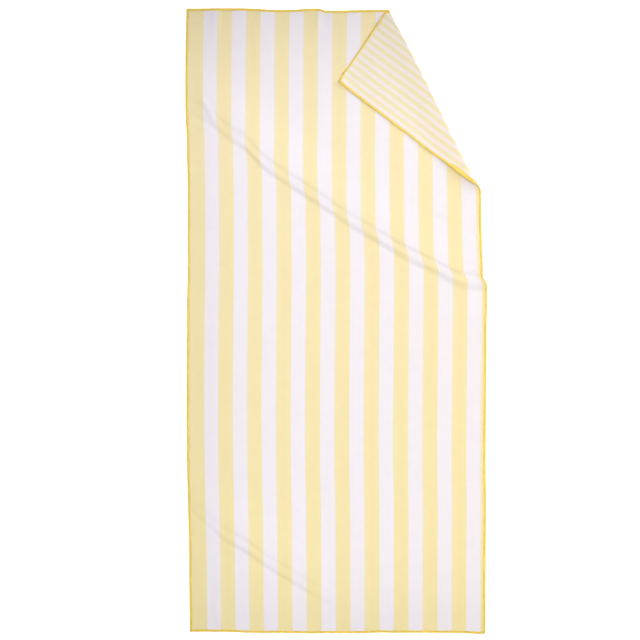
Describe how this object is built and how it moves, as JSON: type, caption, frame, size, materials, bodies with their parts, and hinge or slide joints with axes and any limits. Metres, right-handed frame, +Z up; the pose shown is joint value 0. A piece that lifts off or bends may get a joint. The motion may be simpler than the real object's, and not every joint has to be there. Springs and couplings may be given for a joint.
{
  "type": "beach towel",
  "caption": "Striped beach towel lying flat with one top corner turned over, a soft diagonal ridge across it and bright overlocked edging all round.",
  "frame": {"origin": "on the ground, under the middle of the towel's box as it lies", "axes": "+X across the towel, +Y along it towards the end with the turned corner, +Z up out of the cloth; the turned corner is at +X +Y"},
  "size_m": [0.8677, 1.7983, 0.0179],
  "materials": {
    "striped_cloth": "thin brushed microfibre printed in pale yellow and white stripes along the towel, wide on the face and narrow on the back",
    "edging_thread": "dense bright yellow overlock stitching in soft polyester thread"
  },
  "bodies": {
    "root": {"towel_cloth": "striped_cloth", "edging_left": "edging_thread", "edging_right": "edging_thread", "edging_bottom": "edging_thread", "edging_top": "edging_thread"}
  },
  "joints": []
}
